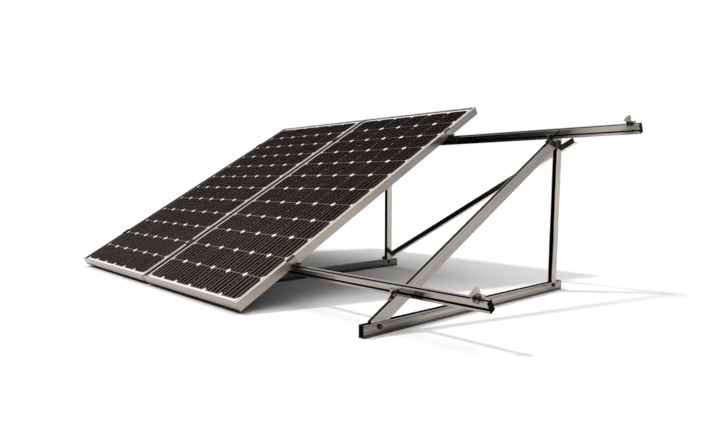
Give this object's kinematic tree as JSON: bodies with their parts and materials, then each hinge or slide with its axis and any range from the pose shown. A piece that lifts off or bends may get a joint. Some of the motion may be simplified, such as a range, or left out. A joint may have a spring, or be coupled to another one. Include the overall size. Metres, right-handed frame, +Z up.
{
  "type": "solar panel mounting frame",
  "caption": "Tilted ground frame of aluminium channels for a row of solar modules: triangles on base rails, slotted cross rails, a diagonal brace, clamps, and modules held on part of the row.",
  "frame": {"origin": "on the ground under the middle of the whole frame, at the bottom centre of its bounding box", "axes": "+X along the row of modules towards the empty place, +Y from the low edge to the high edge at the rear, +Z up"},
  "size_m": [3.183, 1.7164, 1.03],
  "materials": {
    "channel_aluminium": "polished extrusion with fine lengthwise draw lines",
    "rail_aluminium": "polished extrusion with fine lengthwise draw lines",
    "brace_aluminium": "mill finish",
    "clamp_aluminium": "brushed",
    "module_aluminium": "satin anodised, warm silver",
    "stainless": "plain stainless fasteners",
    "black_plastic": "moulded, fine grain",
    "front_glass": "clear, smooth",
    "cell": "near black brown silicon with pale bus bars",
    "back_sheet": "white sheet"
  },
  "bodies": {
    "root": {"base_rail_right": "channel_aluminium", "base_rail_middle": "channel_aluminium", "base_rail_left": "channel_aluminium", "sloped_beam_right": "channel_aluminium", "sloped_beam_middle": "channel_aluminium", "sloped_beam_left": "channel_aluminium", "rear_post_right": "channel_aluminium", "rear_post_middle": "channel_aluminium", "rear_post_left": "channel_aluminium", "cross_rail_lower": "rail_aluminium", "cross_rail_upper": "rail_aluminium", "diagonal_brace": "brace_aluminium", "base_end_caps": "black_plastic", "rail_end_caps": "black_plastic", "foot_spacers": "stainless", "frame_bolts": "stainless", "frame_nuts": "stainless", "frame_washers": "stainless", "brace_bolts": "stainless", "brace_nuts": "stainless", "brace_washers": "stainless", "lower_rail_brackets": "clamp_aluminium", "upper_rail_brackets": "clamp_aluminium", "bracket_beam_bolts": "stainless", "bracket_rail_bolts": "stainless", "bracket_nuts": "stainless", "end_clamps_left": "clamp_aluminium", "end_clamps_right": "clamp_aluminium", "end_clamps_loose": "clamp_aluminium", "mid_clamps": "clamp_aluminium", "clamp_bolts": "stainless", "clamp_washers": "stainless", "clamp_slot_nuts": "stainless", "left_module_frame_lower": "module_aluminium", "left_module_frame_upper": "module_aluminium", "left_module_frame_left": "module_aluminium", "left_module_frame_right": "module_aluminium", "left_module_corner_keys": "clamp_aluminium", "left_module_glass": "front_glass", "left_module_cells": "cell", "left_module_back_sheet": "back_sheet", "left_module_junction_box": "black_plastic", "left_module_box_lid": "black_plastic", "left_module_cable_glands": "black_plastic", "right_module_frame_lower": "module_aluminium", "right_module_frame_upper": "module_aluminium", "right_module_frame_left": "module_aluminium", "right_module_frame_right": "module_aluminium", "right_module_corner_keys": "clamp_aluminium", "right_module_glass": "front_glass", "right_module_cells": "cell", "right_module_back_sheet": "back_sheet", "right_module_junction_box": "black_plastic", "right_module_box_lid": "black_plastic", "right_module_cable_glands": "black_plastic"}
  },
  "joints": []
}
